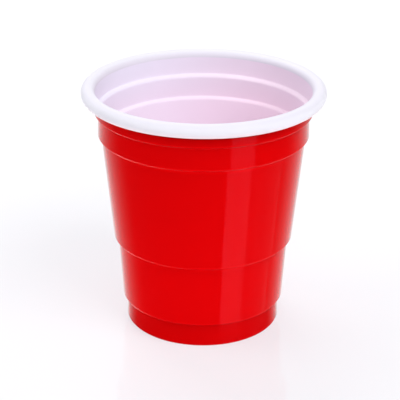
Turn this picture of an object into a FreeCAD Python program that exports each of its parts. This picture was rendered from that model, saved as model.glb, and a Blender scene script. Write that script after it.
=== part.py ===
import FreeCAD, Part
import math
import os

# Plastic shot cup: one thermoformed sheet, turned about the Z axis.
# The origin is at the middle of the foot, on the surface that the cup stands on.
# Lengths are in millimetres and angles in degrees.

# The sheet
wall = 0.3              # thickness of the formed sheet

# Base, drawn up inside a ring that the cup stands on
base_recess = 1.2       # height of the base panel above the standing surface
recess_lean = 30.0      # lean of the recess's side from upright
foot_ring_width = 2.0   # radial width of the ring, from the foot's side to the recess

# Foot band
foot_radius = 16.85     # at the standing surface
foot_height = 5.53
foot_lean = -1.8        # negative: the band closes slightly upwards

# Lower body, above the first ledge
lower_ledge = 0.98
lower_height = 14.1
lower_lean = 3.9

# Main body, above the second ledge
body_ledge = 0.88
body_height = 23.3
body_lean = 5.85

# Shoulder band, above the third ledge
shoulder_ledge = 0.71
shoulder_height = 5.18
shoulder_lean = -1.2

# Neck, above the fourth ledge, upright up to the rolled rim
neck_ledge = 0.81
neck_height = 2.56      # bare height under the roll

# Rolled rim
curl_radius = 1.48      # outside radius of the roll
curl_gap = 0.25         # between the sheet's rolled-in edge and the neck

# Slope of every ledge, down towards the axis, from level
ledge_slope = 30.0

# Rounding of the sheet's outer face
edge_round = 0.25       # lower edge of each band
root_round = 0.35       # corner at the inner end of each ledge
foot_round = 0.35       # outer edge of the standing ring
recess_round = 0.3      # inner edge of the standing ring, and the panel's edge
# Least rounding of the inner face, where the sheet folds sharply round an outer edge
inner_round = 0.3


def polar(centre, radius, degrees):
    """The point at an angle round a centre, in the (radius, height) plane."""
    angle = math.radians(degrees)
    return (
        centre[0] + radius * math.cos(angle),
        centre[1] + radius * math.sin(angle),
    )


def between(start, end):
    """Unit direction and length from one point to another."""
    length = math.dist(start, end)
    return ((end[0] - start[0]) / length, (end[1] - start[1]) / length), length


def turn_at(corners, i):
    """Signed turn of the path at corner i, in radians, positive to the left."""
    (ax, az), _ = between(corners[i - 1], corners[i])
    (bx, bz), _ = between(corners[i], corners[i + 1])
    return math.atan2(ax * bz - az * bx, ax * bx + az * bz)


def outer_path():
    """Corners of the sheet's outer face with their rounding, from the axis up to the roll."""
    radius = foot_radius - foot_ring_width
    panel_radius = radius - base_recess * math.tan(math.radians(recess_lean))
    path = [
        ((0.0, base_recess), 0.0),
        ((panel_radius, base_recess), recess_round),
        ((radius, 0.0), recess_round),
    ]
    radius, level = foot_radius, 0.0
    rounding = foot_round
    bands = (
        (foot_height, foot_lean, lower_ledge),
        (lower_height, lower_lean, body_ledge),
        (body_height, body_lean, shoulder_ledge),
        (shoulder_height, shoulder_lean, neck_ledge),
    )
    for height, lean, ledge in bands:
        path.append(((radius, level), rounding))
        level += height
        # The band's wall ends lower than the next band's edge, by what the ledge drops inwards.
        ledge_drop = ledge * math.tan(math.radians(ledge_slope))
        radius += (height - ledge_drop) * math.tan(math.radians(lean))
        path.append(((radius, level - ledge_drop), root_round))
        radius += ledge
        rounding = edge_round
    path.append(((radius, level), rounding))
    path.append(((radius, level + neck_height + curl_radius), 0.0))
    return path


def inner_path(outer):
    """The outer path set in by the wall, each rounding kept concentric where it can be."""
    corners = [point for point, _ in outer]
    path = [((corners[0][0], corners[0][1] + wall), 0.0)]
    for i in range(1, len(corners) - 1):
        turn = turn_at(corners, i)
        (dx, dz), _ = between(corners[i - 1], corners[i])
        shift = wall * math.tan(turn / 2)
        point = (
            corners[i][0] - dz * wall - dx * shift,
            corners[i][1] + dx * wall - dz * shift,
        )
        if turn > 0:
            rounding = max(outer[i][1] - wall, inner_round)
        else:
            rounding = outer[i][1] + wall
        path.append((point, rounding))
    path.append(((corners[-1][0] - wall, corners[-1][1]), 0.0))
    return path


def fitted(path):
    """The path with each rounding limited to what its two straight runs have room for."""
    corners = [point for point, _ in path]
    reach = [0.0] * len(path)
    for i in range(1, len(path) - 1):
        reach[i] = path[i][1] * math.tan(abs(turn_at(corners, i)) / 2)
    share = [1.0] * len(path)
    for i in range(len(path) - 1):
        _, length = between(corners[i], corners[i + 1])
        wanted = reach[i] + reach[i + 1]
        if wanted > length:
            share[i] = min(share[i], length / wanted)
            share[i + 1] = min(share[i + 1], length / wanted)
    return [(path[i][0], path[i][1] * share[i], reach[i] * share[i]) for i in range(len(path))]


def vector(point):
    """A (radius, height) point as a vector in the XZ plane."""
    return FreeCAD.Vector(point[0], 0, point[1])


def straight(start, end):
    return Part.LineSegment(vector(start), vector(end)).toShape()


def arc(start, middle, end):
    return Part.Arc(vector(start), vector(middle), vector(end)).toShape()


def path_edges(path):
    """Straight and rounded edges along a path of (corner, rounding, reach)."""
    edges = []
    position = path[0][0]
    for i in range(1, len(path) - 1):
        corner, rounding, reach = path[i]
        (ax, az), _ = between(path[i - 1][0], corner)
        (bx, bz), _ = between(corner, path[i + 1][0])
        start = (corner[0] - ax * reach, corner[1] - az * reach)
        end = (corner[0] + bx * reach, corner[1] + bz * reach)
        inwards, _ = between((ax, az), (bx, bz))
        depth = math.hypot(rounding, reach) - rounding
        middle = (corner[0] + inwards[0] * depth, corner[1] + inwards[1] * depth)
        if math.dist(position, start) > Part.Precision.confusion():
            edges.append(straight(position, start))
        edges.append(arc(start, middle, end))
        position = end
    edges.append(straight(position, path[-1][0]))
    return edges


def section():
    """Half section of the cup as a face in the XZ plane."""
    outer = outer_path()
    inner = fitted(inner_path(outer))
    outer = fitted(outer)
    neck_top = outer[-1][0]
    neck_inside = inner[-1][0]

    centre = (neck_inside[0] + curl_radius, neck_inside[1])
    # The roll goes over the top and round, until its edge is a gap away from the neck.
    end_angle = -math.degrees(math.acos((wall + curl_gap) / curl_radius - 1))
    middle_angle = (180 + end_angle) / 2
    roll_radius = curl_radius - wall
    roll_end = polar(centre, roll_radius, end_angle)
    skin_end = polar(centre, curl_radius, end_angle)

    edges = path_edges(outer)
    edges.append(arc(neck_top, polar(centre, roll_radius, middle_angle), roll_end))
    edges.append(straight(roll_end, skin_end))
    edges.append(arc(skin_end, polar(centre, curl_radius, middle_angle), neck_inside))
    edges += reversed(path_edges(inner))
    edges.append(straight(inner[0][0], outer[0][0]))
    return Part.Face(Part.Wire(edges))


def cup():
    axis_point = FreeCAD.Vector(0, 0, 0)
    axis = FreeCAD.Vector(0, 0, 1)
    return section().revolve(axis_point, axis, 360)


os.makedirs("parts", exist_ok=True)
shape = cup()
shape.exportStep("parts/cup.step")
box = shape.optimalBoundingBox(False, False)
print("cup: across", round(box.XLength, 2), "high", round(box.ZLength, 2))
print("sheet volume in cubic millimetres:", round(shape.Volume, 1), "valid:", shape.isValid())
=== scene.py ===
import math

import bmesh
import bpy
from mathutils import Matrix, Vector


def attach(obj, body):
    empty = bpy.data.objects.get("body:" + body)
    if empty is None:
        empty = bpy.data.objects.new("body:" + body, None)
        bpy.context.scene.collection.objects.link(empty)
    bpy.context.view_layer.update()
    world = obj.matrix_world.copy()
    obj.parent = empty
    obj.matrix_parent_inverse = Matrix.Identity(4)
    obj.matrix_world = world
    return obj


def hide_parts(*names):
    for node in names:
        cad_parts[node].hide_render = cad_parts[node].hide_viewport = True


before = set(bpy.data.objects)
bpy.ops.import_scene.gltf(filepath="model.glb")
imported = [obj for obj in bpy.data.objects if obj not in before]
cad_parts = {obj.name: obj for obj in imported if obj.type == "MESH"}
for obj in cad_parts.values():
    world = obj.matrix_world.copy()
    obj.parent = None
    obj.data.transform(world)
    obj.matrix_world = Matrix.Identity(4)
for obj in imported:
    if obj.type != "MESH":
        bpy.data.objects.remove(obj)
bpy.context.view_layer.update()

bl_info = {
    "name": "Plastic Shot Cup",
    "version": (1, 0, 0),
    "blender": (4, 5, 0),
    "location": "View3D > Sidebar > Shot Cup",
    "description": "Models a formed plastic shot cup with a rolled rim, and its floor and lamps",
    "category": "Add Mesh",
}

MM = 0.001
CUP_NODE = "cup"
BODY = "root"

# Vertices this close together are merged into one.
WELD = 0.001 * MM
BLACK = (0.0, 0.0, 0.0, 1.0)
WHITE = (1.0, 1.0, 1.0, 1.0)


# Sizes and colours that a user would change


def length(name, description, millimetres):
    return bpy.props.FloatProperty(
        name=name, description=description, default=millimetres * MM, unit="LENGTH", precision=5
    )


def angle(name, description, degrees):
    return bpy.props.FloatProperty(
        name=name, description=description, default=math.radians(degrees), subtype="ANGLE"
    )


def colour(name, description, red, green, blue):
    return bpy.props.FloatVectorProperty(
        name=name, description=description, default=(red, green, blue), subtype="COLOR", min=0, max=1
    )


def share(name, description, value):
    return bpy.props.FloatProperty(
        name=name, description=description, default=value, min=0, max=1, subtype="FACTOR"
    )


def count(name, description, number):
    return bpy.props.IntProperty(name=name, description=description, default=number, min=3)


class ShotCupSizes(bpy.types.PropertyGroup):
    """The cup's section, from the foot up to the rolled rim."""

    wall: length("Sheet", "Thickness of the formed sheet", 0.3)
    base_recess: length("Base recess", "Height of the base panel above the floor", 1.2)
    recess_lean: angle("Recess lean", "Lean of the recess's side from upright", 30)
    foot_ring_width: length("Foot ring", "Radial width of the ring that the cup stands on", 2)
    foot_radius: length("Foot radius", "Radius of the foot on the floor", 16.85)
    foot_height: length("Foot height", "Height of the foot band", 5.53)
    foot_lean: angle("Foot lean", "Outward lean of the foot band", -1.8)
    lower_ledge: length("Lower ledge", "Width of the ledge under the lower body", 0.98)
    lower_height: length("Lower height", "Height of the lower body", 14.1)
    lower_lean: angle("Lower lean", "Outward lean of the lower body", 3.9)
    body_ledge: length("Body ledge", "Width of the ledge under the main body", 0.88)
    body_height: length("Body height", "Height of the main body", 23.3)
    body_lean: angle("Body lean", "Outward lean of the main body", 5.85)
    shoulder_ledge: length("Shoulder ledge", "Width of the ledge under the shoulder", 0.71)
    shoulder_height: length("Shoulder height", "Height of the shoulder band", 5.18)
    shoulder_lean: angle("Shoulder lean", "Outward lean of the shoulder band", -1.2)
    neck_ledge: length("Neck ledge", "Width of the ledge under the neck", 0.81)
    neck_height: length("Neck height", "Bare height of the neck under the roll", 2.56)
    curl_radius: length("Roll radius", "Outside radius of the rolled rim", 1.48)
    curl_gap: length("Roll gap", "Gap between the rolled-in edge and the neck", 0.25)
    ledge_slope: angle("Ledge slope", "Slope of every ledge, down towards the axis, from level", 30)
    edge_round: length("Edge rounding", "Rounding of the lower edge of each band", 0.25)
    root_round: length("Root rounding", "Rounding of the corner at the inner end of each ledge", 0.35)
    foot_round: length("Foot rounding", "Rounding of the foot ring's outer edge", 0.35)
    recess_round: length("Recess rounding", "Rounding of the base recess", 0.3)
    inner_round: length("Inner rounding", "Least rounding of the inner face", 0.3)
    loop_gap: length("Holding loop gap", "Gap from a rounding to the loop that holds it crisp", 0.12)
    round_steps: count("Rounding steps", "Steps along each rounding", 6)
    roll_steps: count("Roll steps", "Steps along the rolled rim", 36)
    turn_steps: count("Turn steps", "Steps round the cup", 288)


class ShotCupColours(bpy.types.PropertyGroup):
    """The two layers of the sheet, and the floor."""

    red: colour("Red", "Outer layer", 0.705, 0.0005, 0.0014)
    # Painted shade with a random uneven tone: the red that the foot and the wall towards the rim darken to
    shade_and_tone_red: colour("Deep red", "Outer layer where the sheet is thickest", 0.615, 0.0004, 0.0010)
    # Painted light: lifts the shade in the corners under the two middle ledges
    root_light_red: colour("Bright red", "Outer layer in the corners under the ledges", 0.84, 0.0008, 0.002)
    # Painted highlight: a thin bright line along the lower edge of each band
    edge_highlight_red: colour("Pale red", "Outer layer where it is drawn thin over an edge", 1.0, 0.008, 0.010)
    shaded_red: colour("Shaded red", "Outer layer where the neck meets the roll", 0.30, 0.0002, 0.0006)
    white: colour("White", "Inner layer on the flank of the rolled rim", 0.762, 0.753, 0.828)
    lip_white: colour("Lip white", "Inner layer where the roll turns into the mouth", 0.762, 0.748, 0.825)
    # Painted light: lighter and pinker under the roll, where shade would fall
    underside_light_white: colour("Warm white", "Inner layer on the underside of the roll", 0.90, 0.81, 0.87)
    # Painted shade: darker along the top of the roll, where the most light falls
    shaded_top_white: colour("Top white", "Inner layer along the top of the rolled rim", 0.722, 0.706, 0.787)
    pale: colour("Pale", "Inner layer just inside the mouth", 0.835, 0.83, 0.945)
    blush: colour("Blush", "Inner layer where the red shows through it", 0.90, 0.71, 0.825)
    floor: colour("Floor", "Floor in the light that it throws on the cup", 0.93, 0.92, 0.93)
    floor_shade: colour("Floor shade", "Part of the floor's look that takes shadow", 0.325, 0.33, 0.33)
    floor_glow: colour("Floor glow", "Part of the floor's look that takes no shadow", 0.562, 0.56, 0.597)


class ShotCupStage(bpy.types.PropertyGroup):
    """The camera, the floor's size and the room's light."""

    view_elevation: angle("View elevation", "Angle at which the camera looks down", 23.65)
    view_distance: length("View distance", "From the camera to the point it aims at", 301.4)
    view_height: length("Aim height", "Height of the point that the camera and lamps aim at", 26.88)
    view_side: length("Aim side", "Sideways place of the camera and of its aim", -0.68)
    view_roll: angle("View roll", "Turn of the camera about its line of sight", 0.30)
    focal_length: bpy.props.FloatProperty(
        name="Focal length", description="Focal length in millimetres", default=124.25, min=1
    )
    floor_width: length("Floor width", "Width of the floor", 6000)
    room_light: share("Room light", "Part of the room's white that lights matt surfaces", 0.4)


# Soft lamps that face the cup. The azimuth goes round from the camera's side to the right. Angles are in
# degrees, lengths in metres and the power in watts.
SOFTBOXES = (
    {"name": "key_softbox", "azimuth": 44, "elevation": 50, "power": 4.5},
    {"name": "front_softbox", "azimuth": 5, "elevation": 35, "power": 1.3, "in_gloss": False},
    {"name": "back_softbox", "azimuth": 203, "elevation": 50, "power": 3.1},
    {"name": "left_softbox", "azimuth": 270, "elevation": 38, "power": 2.05, "in_gloss": False},
)
# These light the floor alone. The red's gloss shows their mirror images in it as upright bands.
FLOOR_SOFTBOXES = (
    {
        "name": "strip_softbox", "azimuth": 42, "elevation": 29, "power": 7.6,
        "distance": 0.8, "width": 0.37, "height": 0.62,
    },
    {
        "name": "side_softbox", "azimuth": 80, "elevation": 38, "power": 2.1,
        "distance": 0.8, "width": 0.6,
    },
)


# Drawing a section by hand: one vertex, extruded, rounded and spun in edit mode


def in_section(point):
    """A (radius, height) point in the XZ plane."""
    return Vector((point[0], 0, point[1]))


def deselect_everything():
    if bpy.context.object and bpy.context.object.mode != "OBJECT":
        bpy.ops.object.mode_set(mode="OBJECT")
    bpy.ops.object.select_all(action="DESELECT")


def start_line(name, point):
    """A new object in edit mode that holds one selected vertex."""
    deselect_everything()
    bpy.ops.mesh.primitive_plane_add(size=MM)
    piece = bpy.context.object
    piece.name = piece.data.name = name
    bpy.ops.object.mode_set(mode="EDIT")
    bpy.ops.mesh.select_all(action="SELECT")
    bpy.ops.mesh.merge(type="CENTER")
    bpy.ops.transform.translate(value=in_section(point))
    return piece


def draw_to(start, end):
    """Extrudes the selected vertex from one point to another."""
    step = in_section(end) - in_section(start)
    bpy.ops.mesh.extrude_vertices_move(TRANSFORM_OT_translate={"value": step})


def roll(centre, turn, steps):
    """Extrudes the selected vertex round a point of the section, over the top for a positive turn."""
    bpy.ops.mesh.spin(steps=steps, angle=turn, center=in_section(centre), axis=(0, -1, 0))


def select_at(piece, point, reach=0.01 * MM):
    """Selects the vertex at a point of the section, and nothing else."""
    bpy.ops.mesh.select_all(action="DESELECT")
    mesh = bmesh.from_edit_mesh(piece.data)
    place = in_section(point)
    nearest = min(mesh.verts, key=lambda vertex: (vertex.co - place).length)
    if (nearest.co - place).length > reach:
        raise RuntimeError(f"{piece.name} has no corner at {tuple(point)}")
    nearest.select = True
    mesh.select_flush(True)
    bmesh.update_edit_mesh(piece.data)


def turn_round(piece, steps):
    """Spins the whole section about the cup's axis and closes the seam and the poles."""
    bpy.ops.mesh.select_all(action="SELECT")
    bpy.ops.mesh.spin(steps=steps, angle=math.tau, center=(0, 0, 0), axis=(0, 0, 1))
    bpy.ops.mesh.select_all(action="SELECT")
    bpy.ops.mesh.remove_doubles(threshold=WELD)
    bpy.ops.object.mode_set(mode="OBJECT")


# The section's corners


def run(start, end):
    """Unit direction and length from one point to another."""
    gap = Vector(end) - Vector(start)
    return gap.normalized(), gap.length


def turn_at(corners, i):
    """Signed turn of the path at corner i, in radians, positive to the left."""
    before, _ = run(corners[i - 1], corners[i])
    after, _ = run(corners[i], corners[i + 1])
    return math.atan2(before.cross(after), before.dot(after))


def outer_corners(sizes):
    """Corners of the outer face with their rounding, from the axis up to the roll."""
    radius = sizes.foot_radius - sizes.foot_ring_width
    panel_radius = radius - sizes.base_recess * math.tan(sizes.recess_lean)
    path = [
        ((0, sizes.base_recess), 0),
        ((panel_radius, sizes.base_recess), sizes.recess_round),
        ((radius, 0), sizes.recess_round),
    ]
    radius, level = sizes.foot_radius, 0
    rounding = sizes.foot_round
    bands = (
        (sizes.foot_height, sizes.foot_lean, sizes.lower_ledge),
        (sizes.lower_height, sizes.lower_lean, sizes.body_ledge),
        (sizes.body_height, sizes.body_lean, sizes.shoulder_ledge),
        (sizes.shoulder_height, sizes.shoulder_lean, sizes.neck_ledge),
    )
    for height, lean, ledge in bands:
        path.append(((radius, level), rounding))
        level += height
        ledge_drop = ledge * math.tan(sizes.ledge_slope)
        radius += (height - ledge_drop) * math.tan(lean)
        path.append(((radius, level - ledge_drop), sizes.root_round))
        radius += ledge
        rounding = sizes.edge_round
    path.append(((radius, level), rounding))
    path.append(((radius, level + sizes.neck_height + sizes.curl_radius), 0))
    return path


def inner_corners(sizes, outer):
    """The outer face's corners set in by the sheet, from the axis up to the roll."""
    corners = [point for point, _ in outer]
    path = [((0, sizes.base_recess + sizes.wall), 0)]
    for i in range(1, len(corners) - 1):
        turn = turn_at(corners, i)
        along, _ = run(corners[i - 1], corners[i])
        inwards = Vector((-along.y, along.x))
        point = Vector(corners[i]) + sizes.wall * (inwards - along * math.tan(turn / 2))
        if turn > 0:
            rounding = max(outer[i][1] - sizes.wall, sizes.inner_round)
        else:
            rounding = outer[i][1] + sizes.wall
        path.append((tuple(point), rounding))
    path.append(((corners[-1][0] - sizes.wall, corners[-1][1]), 0))
    return path


def reaches(path):
    """How far each corner's rounding reaches along its runs, limited to the room there is."""
    corners = [point for point, _ in path]
    wanted = [0.0] * len(path)
    for i in range(1, len(path) - 1):
        wanted[i] = path[i][1] * math.tan(abs(turn_at(corners, i)) / 2)
    room = [1.0] * len(path)
    for i in range(len(path) - 1):
        _, gap = run(corners[i], corners[i + 1])
        both = wanted[i] + wanted[i + 1]
        if both > gap:
            room[i] = min(room[i], gap / both)
            room[i + 1] = min(room[i + 1], gap / both)
    return [reach * part for reach, part in zip(wanted, room)]


def draw_path(path, loop_gap):
    """Draws the path from its first corner, with a holding vertex beside each rounding."""
    reach = reaches(path)
    for i in range(len(path) - 1):
        start, end = path[i][0], path[i + 1][0]
        along, gap = run(start, end)
        stops = [0.0]
        for stop in (reach[i] + loop_gap, gap - reach[i + 1] - loop_gap):
            clear = reach[i] + loop_gap / 2 < stop < gap - reach[i + 1] - loop_gap / 2
            if clear and stop > stops[-1] + loop_gap / 2:
                stops.append(stop)
        stops.append(gap)
        for near, far in zip(stops, stops[1:]):
            draw_to(Vector(start) + along * near, Vector(start) + along * far)


def round_corners(piece, path, steps):
    """Bevels each corner of a drawn path into an arc."""
    for (point, _), reach in zip(path, reaches(path)):
        if reach > 0:
            select_at(piece, point)
            bpy.ops.mesh.bevel(
                offset=reach, offset_type="OFFSET", segments=steps, affect="VERTICES",
                profile=0.5, clamp_overlap=False,
            )


# Shader arithmetic


class Signal:
    """A shader socket that takes part in Python arithmetic. Each operation adds a Math node."""

    def __init__(self, finish, socket):
        self.finish = finish
        self.socket = socket

    def math(self, operation, *others):
        inputs = dict(enumerate((self, *others)))
        return self.finish.node("ShaderNodeMath", {"operation": operation}, inputs)

    def __add__(self, other):
        return self.math("ADD", other)

    def __sub__(self, other):
        return self.math("SUBTRACT", other)

    def __rsub__(self, other):
        return self.finish.node("ShaderNodeMath", {"operation": "SUBTRACT"}, {0: other, 1: self})

    def __mul__(self, other):
        return self.math("MULTIPLY", other)

    __radd__ = __add__
    __rmul__ = __mul__


class Finish:
    """The nodes of a material or a world."""

    def __init__(self, owner):
        self.owner = owner
        owner.use_nodes = True
        owner.node_tree.nodes.clear()

    def node(self, kind, settings=None, inputs=None, output=0):
        """Adds a node, with its settings and then its sockets' values or links, and gives one output."""
        tree = self.owner.node_tree
        node = tree.nodes.new(kind)
        for name, value in (settings or {}).items():
            setattr(node, name, value)
        for name, value in (inputs or {}).items():
            if isinstance(value, Signal):
                tree.links.new(value.socket, node.inputs[name])
            else:
                node.inputs[name].default_value = value
        return Signal(self, node.outputs[output]) if node.outputs else None

    def show(self, shader, output="ShaderNodeOutputMaterial"):
        """Links the shader to the output, and gives the material or world."""
        self.node(output, None, {"Surface": shader})
        return self.owner

    def place(self):
        """A point's place, in the object's own coordinates."""
        return self.node("ShaderNodeTexCoord", output="Object")

    def coordinate(self, place, axis):
        """A place's X, Y or Z."""
        return self.node("ShaderNodeSeparateXYZ", None, {"Vector": place}, output=axis)

    def ray(self, kind):
        """1 for rays of a kind, such as Is Camera Ray, and 0 for all others."""
        return self.node("ShaderNodeLightPath", output=kind)

    def noise(self, place, scale, detail=2.0):
        """Cloudy noise whose patches are about as long as the scale, in metres."""
        inputs = {"Vector": place, "Scale": 1 / scale, "Detail": detail, "Roughness": 0.5}
        return self.node("ShaderNodeTexNoise", inputs=inputs)

    def bump(self, relief, strength, distance):
        """The surface's normal over a relief whose height is the distance, in metres."""
        inputs = {"Strength": strength, "Distance": distance, "Height": relief}
        return self.node("ShaderNodeBump", inputs=inputs)

    def ramp(self, value, low, high):
        """0 below low and 1 above high, with a smooth run between."""
        settings = {"interpolation_type": "SMOOTHSTEP"}
        inputs = {"Value": value, "From Min": low, "From Max": high}
        return self.node("ShaderNodeMapRange", settings, inputs)

    def rise(self, value, level, run):
        """A ramp about a level. The run is its start and end, in millimetres from the level."""
        return self.ramp(value, level + run[0] * MM, level + run[1] * MM)

    def band(self, value, level, runs):
        """A ramp up and then one down about a level, by their starts and ends in millimetres from it."""
        return self.rise(value, level, runs[:2]) * (1 - self.rise(value, level, runs[2:]))

    def mixed(self, factor, first, second):
        """A colour between two others. Inputs 6 and 7 and output 2 are the Mix node's colours."""
        return self.node("ShaderNodeMix", {"data_type": "RGBA"}, {0: factor, 6: first, 7: second}, output=2)


def rgba(colour_property):
    return (*colour_property, 1.0)


# Where the red layer's looks change, in millimetres over the edge of a ledge or over the neck's end, and
# how strongly
FOOT_TOP = (-0.2, 0.2)
LEDGE_FACE = (-0.7, -0.6, 0.1, 0.3)
LEDGE_EDGE = (-0.02, 0.08, 0.22, 0.40)
LEDGE_ROOT = (-1.2, -0.7, -0.3, -0.05)
NECK_ROOT = (-0.5, 0)
CLOUDINESS = 0.3
ROOT_LIGHT = 0.4
EDGE_HIGHLIGHT = 0.18
NECK_SHADING = 0.25

# The red plastic's own gloss is faint. Its tint is over 1, because such a low IOR reflects so little. The
# stronger gloss of its skin sets in where the surface turns away from the eye, from the first to the
# second value of Layer Weight's Facing.
RED_IOR = 1.05
RED_GLOSS_TINT = (7.0, 1.15, 1.65, 1.0)
RED_ROUGHNESS = 0.035
SCUFF_ROUGHNESS = 0.03
FOOT_ROUGHNESS = 0.12
SKIN_FACING = (0.42, 0.95)
SKIN_IOR = 1.5
SKIN_ROUGHNESS = 0.03
SKIN_DELAY_ON_FOOT = 0.12
SKIN_LOSS_ON_LEDGES = 0.4


def red_finish(colours, levels, neck_end, top):
    """Glossy outer layer: draw lines up the wall, a slight ripple and an uneven gloss."""
    finish = Finish(bpy.data.materials.new("red_outer_layer"))
    place = finish.place()
    height = finish.coordinate(place, "Z")
    cloud = finish.noise(place, 30 * MM)
    up_the_wall = finish.node(
        "ShaderNodeMapping", {"vector_type": "POINT"}, {"Vector": place, "Scale": (1, 1, 0.06)}
    )
    draw_lines = finish.noise(up_the_wall, 1.6 * MM, detail=3.0)
    ripple = finish.noise(place, 7 * MM, detail=1.0)
    peel = finish.noise(place, 0.9 * MM)
    relief = ripple * 0.9 + draw_lines * 0.08 + peel * 0.03

    # Painted shade: the red darkens in the foot and towards the rim, where less light falls on the wall.
    # The cloud gives it an uneven tone at random.
    foot = 1 - finish.rise(height, levels[0], FOOT_TOP)
    depth = foot + finish.ramp(height, levels[0], top) + CLOUDINESS * (cloud - 0.5)
    shade = finish.mixed(depth, rgba(colours.red), rgba(colours.shade_and_tone_red))
    # Painted light in the corners under the two middle ledges, where shade falls
    root_light_mask = 0
    for level in levels[1:3]:
        root_light_mask = root_light_mask + finish.band(height, level, LEDGE_ROOT)
    shade = finish.mixed(root_light_mask * ROOT_LIGHT, shade, rgba(colours.root_light_red))
    edge_highlight_mask = 0
    ledges = 0
    for level in levels:
        edge_highlight_mask = edge_highlight_mask + finish.band(height, level, LEDGE_EDGE)
        ledges = ledges + finish.band(height, level, LEDGE_FACE)
    # Painted highlight along the lower edge of each band, over each ledge
    shade = finish.mixed(edge_highlight_mask * EDGE_HIGHLIGHT, shade, rgba(colours.edge_highlight_red))
    neck = finish.ramp(height, levels[-1], neck_end)
    neck_root = finish.rise(height, neck_end, NECK_ROOT)
    shade = finish.mixed(neck * NECK_SHADING + neck_root, shade, rgba(colours.shaded_red))

    scuffs = finish.ramp(draw_lines + cloud, 0.8, 1.25)
    facing = finish.node("ShaderNodeLayerWeight", None, {"Blend": 0.5}, output="Facing")
    skin = finish.ramp(facing, SKIN_FACING[0] + SKIN_DELAY_ON_FOOT * foot, SKIN_FACING[1])
    return finish.show(
        finish.node(
            "ShaderNodeBsdfPrincipled",
            None,
            {
                "Base Color": shade,
                "Roughness": RED_ROUGHNESS + SCUFF_ROUGHNESS * scuffs + FOOT_ROUGHNESS * foot,
                "IOR": RED_IOR,
                "Specular Tint": RED_GLOSS_TINT,
                "Coat Weight": skin * (1 - SKIN_LOSS_ON_LEDGES * ledges),
                "Coat Roughness": SKIN_ROUGHNESS,
                "Coat IOR": SKIN_IOR,
                "Normal": finish.bump(relief, 0.25, 0.05 * MM),
            },
        )
    )


# Where the white layer's looks change, in millimetres over the rim's top or the wall's top, or out from
# the middle of the roll
BLUSH_RUN = (-14, -0.5)
RIM_TOP = (-0.9, -0.1)
RIM_UNDERSIDE = (-1.3, 0.1)
MOUTH_TOP = (-0.15, 0.05)
LIP_EDGE = (-0.9, -0.2)
# The blush's strength at the top left, and what it gains to the bottom and to the right. The gain to the
# right is painted light, from the lamps on that side shining through the red wall.
BLUSH_SIDES = (-20, 20)
BLUSH_START = 0.05
BLUSH_DOWN = 0.4
SIDE_LIGHT_BLUSH = 0.6
WHITE_ROUGHNESS = 0.42
FINE_ROUGHNESS = 0.08
WHITE_IOR = 1.15


def white_finish(colours, roll_centre, top):
    """Satin inner layer: white on the rim, and blushed by the red behind it further in."""
    finish = Finish(bpy.data.materials.new("white_inner_layer"))
    place = finish.place()
    height = finish.coordinate(place, "Z")
    cloud = finish.noise(place, 12 * MM)
    fine = finish.noise(place, 1.2 * MM, detail=3.0)
    roll_radius, wall_top = roll_centre

    depth = 1 - finish.rise(height, top, BLUSH_RUN)
    # Painted light: the blush deepens to the right, where light shines through the red wall
    across = finish.rise(finish.coordinate(place, "X"), 0, BLUSH_SIDES)
    blush = (BLUSH_START + BLUSH_DOWN * depth + SIDE_LIGHT_BLUSH * across) * (0.92 + 0.16 * cloud)
    inside = finish.mixed(blush, rgba(colours.pale), rgba(colours.blush))

    # Painted shade along the top of the roll
    rim = finish.mixed(finish.rise(height, top, RIM_TOP), rgba(colours.white), rgba(colours.shaded_top_white))
    # Painted light under the roll
    underside = 1 - finish.rise(height, wall_top, RIM_UNDERSIDE)
    rim = finish.mixed(underside, rim, rgba(colours.underside_light_white))
    flat = finish.node("ShaderNodeVectorMath", {"operation": "MULTIPLY"}, {0: place, 1: (1, 1, 0)})
    radius = finish.node("ShaderNodeVectorMath", {"operation": "LENGTH"}, {0: flat}, output="Value")
    lip = 1 - finish.rise(radius, roll_radius, LIP_EDGE)
    rim = finish.mixed(lip, rim, rgba(colours.lip_white))
    mouth = lip * (1 - finish.rise(height, wall_top, MOUTH_TOP))
    return finish.show(
        finish.node(
            "ShaderNodeBsdfPrincipled",
            None,
            {
                "Base Color": finish.mixed(mouth, rim, inside),
                "Roughness": WHITE_ROUGHNESS + FINE_ROUGHNESS * fine,
                "IOR": WHITE_IOR,
                "Normal": finish.bump(cloud * 0.9 + fine * 0.1, 0.2, 0.04 * MM),
            },
        )
    )


FLOOR_ROUGHNESS = 0.02
FLOOR_IOR = 1.3
FLOOR_MIRROR = (0.95, 0.95, 0.95, 1.0)


def floor_finish(colours):
    """Polished white sheet that shows as white and keeps the cup's shadow."""
    finish = Finish(bpy.data.materials.new("white_floor"))
    is_camera = finish.ray("Is Camera Ray")
    base = finish.mixed(is_camera, rgba(colours.floor), rgba(colours.floor_shade))
    seen = finish.node(
        "ShaderNodeBsdfPrincipled",
        None,
        {
            "Base Color": base,
            "Roughness": FLOOR_ROUGHNESS,
            "IOR": FLOOR_IOR,
            "Emission Color": finish.mixed(is_camera, BLACK, rgba(colours.floor_glow)),
            "Emission Strength": 1.0,
        },
    )
    # What the cup gets from the floor: its white light, and a mirror image in the red's gloss.
    matt = finish.node("ShaderNodeBsdfDiffuse", None, {"Color": base})
    mirror = finish.node(
        "ShaderNodeBsdfGlossy", None, {"Color": FLOOR_MIRROR, "Roughness": FLOOR_ROUGHNESS}
    )
    lit = finish.node("ShaderNodeMixShader", None, {0: finish.ray("Is Glossy Ray"), 1: matt, 2: mirror})
    return finish.show(finish.node("ShaderNodeMixShader", None, {0: is_camera, 1: lit, 2: seen}))


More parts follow.
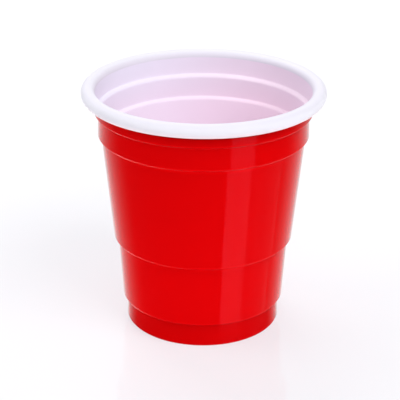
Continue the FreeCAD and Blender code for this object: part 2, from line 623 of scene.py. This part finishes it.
def room_finish(stage):
    """Even light from all round, which the camera and the gloss see as white."""
    finish = Finish(bpy.data.worlds.new("white_room"))
    level = stage.room_light + (1 - stage.room_light) * finish.ray("Is Glossy Ray")
    strength = level.math("MAXIMUM", finish.ray("Is Camera Ray"))
    light = finish.node("ShaderNodeBackground", None, {"Color": WHITE, "Strength": strength})
    return finish.show(light, output="ShaderNodeOutputWorld")


# The operators and what they use

# Part of the neck's height at which the red is as dark as it gets under the roll
NECK_SHADE_END = 0.8
SMOOTH_UP_TO = math.radians(40)


def step_levels(sizes):
    """Heights of the ledges' edges, from the foot up."""
    heights = (sizes.foot_height, sizes.lower_height, sizes.body_height, sizes.shoulder_height)
    return [sum(heights[: i + 1]) for i in range(len(heights))]


def add_softbox(
    aim, name, azimuth, elevation, power, distance=0.9, width=0.5, height=0.5, in_gloss=True
):
    """A soft rectangular lamp, placed round the cup and turned to the aim."""
    deselect_everything()
    side, rise = math.radians(azimuth), math.radians(elevation)
    away = Vector(
        (math.sin(side) * math.cos(rise), -math.cos(side) * math.cos(rise), math.sin(rise))
    )
    bpy.ops.object.light_add(type="AREA", location=aim + away * distance)
    lamp = bpy.context.object
    lamp.name = lamp.data.name = name
    lamp.rotation_euler = away.to_track_quat("Z", "Y").to_euler()
    lamp.data.shape = "RECTANGLE"
    lamp.data.size = width
    lamp.data.size_y = height
    lamp.data.energy = power
    lamp.visible_camera = False
    lamp.visible_glossy = in_gloss
    return lamp


class SHOTCUP_OT_cup(bpy.types.Operator):
    """Model the cup's sheet: a red outer face and a white inner face that rolls over the rim"""

    bl_idname = "shotcup.cup"
    bl_label = "Add the Cup"

    def execute(self, context):
        sizes = context.scene.shot_cup_sizes
        colours = context.scene.shot_cup_colours
        outer = outer_corners(sizes)
        inner = inner_corners(sizes, outer)
        neck_inside = inner[-1][0]
        centre = Vector((neck_inside[0] + sizes.curl_radius, neck_inside[1]))
        top = centre.y + sizes.curl_radius
        rolled = math.pi + math.acos((sizes.wall + sizes.curl_gap) / sizes.curl_radius - 1)

        red_skin = start_line("red_skin", outer[0][0])
        draw_path(outer, sizes.loop_gap)
        roll(centre, rolled, sizes.roll_steps)
        round_corners(red_skin, outer, sizes.round_steps)
        turn_round(red_skin, sizes.turn_steps)
        levels = step_levels(sizes)
        neck_end = levels[-1] + NECK_SHADE_END * sizes.neck_height
        red_skin.data.materials.append(red_finish(colours, levels, neck_end, top))

        cup = start_line("shot_cup", inner[0][0])
        draw_path(inner, sizes.loop_gap)
        roll(centre, rolled, sizes.roll_steps)
        # The sheet's end, across its thickness
        edge_way = Vector((math.cos(math.pi - rolled), math.sin(math.pi - rolled)))
        draw_to(centre + sizes.curl_radius * edge_way, centre + (sizes.curl_radius - sizes.wall) * edge_way)
        round_corners(cup, inner, sizes.round_steps)
        turn_round(cup, sizes.turn_steps)
        cup.data.materials.append(white_finish(colours, centre, top))

        deselect_everything()
        red_skin.select_set(True)
        cup.select_set(True)
        context.view_layer.objects.active = cup
        bpy.ops.object.join()
        bpy.ops.object.mode_set(mode="EDIT")
        bpy.ops.mesh.select_all(action="SELECT")
        bpy.ops.mesh.remove_doubles(threshold=WELD)
        bpy.ops.mesh.normals_make_consistent(inside=False)
        bpy.ops.object.mode_set(mode="OBJECT")
        bpy.ops.object.shade_smooth_by_angle(angle=SMOOTH_UP_TO)

        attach(cup, BODY)
        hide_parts(CUP_NODE)
        return {"FINISHED"}


class SHOTCUP_OT_stage(bpy.types.Operator):
    """Set the floor, the lamps and the camera"""

    bl_idname = "shotcup.stage"
    bl_label = "Add the Stage"

    def execute(self, context):
        stage = context.scene.shot_cup_stage
        floor = self.add_floor(stage, context.scene.shot_cup_colours)
        self.add_camera(context, stage)
        context.scene.world = room_finish(stage)
        aim = Vector((0, 0, stage.view_height))
        for softbox in SOFTBOXES:
            add_softbox(aim, **softbox)
        floor_alone = bpy.data.collections.new("floor_alone")
        floor_alone.objects.link(floor)
        for softbox in FLOOR_SOFTBOXES:
            lamp = add_softbox(aim, **softbox)
            lamp.visible_diffuse = False
            lamp.light_linking.receiver_collection = floor_alone
        context.scene.view_settings.view_transform = "Standard"
        return {"FINISHED"}

    def add_floor(self, stage, colours):
        deselect_everything()
        bpy.ops.mesh.primitive_plane_add(size=stage.floor_width)
        floor = bpy.context.object
        floor.name = floor.data.name = "floor"
        floor.data.materials.append(floor_finish(colours))
        return floor

    def add_camera(self, context, stage):
        deselect_everything()
        elevation = stage.view_elevation
        away = Vector((0, -math.cos(elevation), math.sin(elevation)))
        aim = Vector((stage.view_side, 0, stage.view_height))
        bpy.ops.object.camera_add(location=aim + away * stage.view_distance)
        camera = bpy.context.object
        camera.name = camera.data.name = "view_camera"
        turned = away.to_track_quat("Z", "Y").to_matrix() @ Matrix.Rotation(stage.view_roll, 3, "Z")
        camera.rotation_euler = turned.to_euler()
        camera.data.sensor_width = 36.0
        camera.data.lens = stage.focal_length
        camera.data.clip_start = 1 * MM
        context.scene.camera = camera


class SHOTCUP_PT_panel(bpy.types.Panel):
    """Sidebar panel that lists the operators, sizes and colours"""

    bl_idname = "SHOTCUP_PT_panel"
    bl_label = "Shot Cup"
    bl_space_type = "VIEW_3D"
    bl_region_type = "UI"
    bl_category = "Shot Cup"

    def draw(self, context):
        layout = self.layout
        for operator in OPERATORS:
            layout.operator(operator.bl_idname)
        for group in PROPERTY_GROUPS.values():
            box = layout.box()
            settings = getattr(context.scene, group)
            for name in settings.bl_rna.properties.keys():
                if name not in ("rna_type", "name"):
                    box.prop(settings, name)


OPERATORS = (SHOTCUP_OT_cup, SHOTCUP_OT_stage)
PROPERTY_GROUPS = {
    ShotCupSizes: "shot_cup_sizes",
    ShotCupColours: "shot_cup_colours",
    ShotCupStage: "shot_cup_stage",
}


def register():
    for group, name in PROPERTY_GROUPS.items():
        bpy.utils.register_class(group)
        setattr(bpy.types.Scene, name, bpy.props.PointerProperty(type=group))
    for kind in (*OPERATORS, SHOTCUP_PT_panel):
        bpy.utils.register_class(kind)


def unregister():
    for kind in reversed((*OPERATORS, SHOTCUP_PT_panel)):
        bpy.utils.unregister_class(kind)
    for group, name in PROPERTY_GROUPS.items():
        delattr(bpy.types.Scene, name)
        bpy.utils.unregister_class(group)


def main():
    register()
    bpy.ops.shotcup.cup()
    bpy.ops.shotcup.stage()


if __name__ == "__main__":
    main()
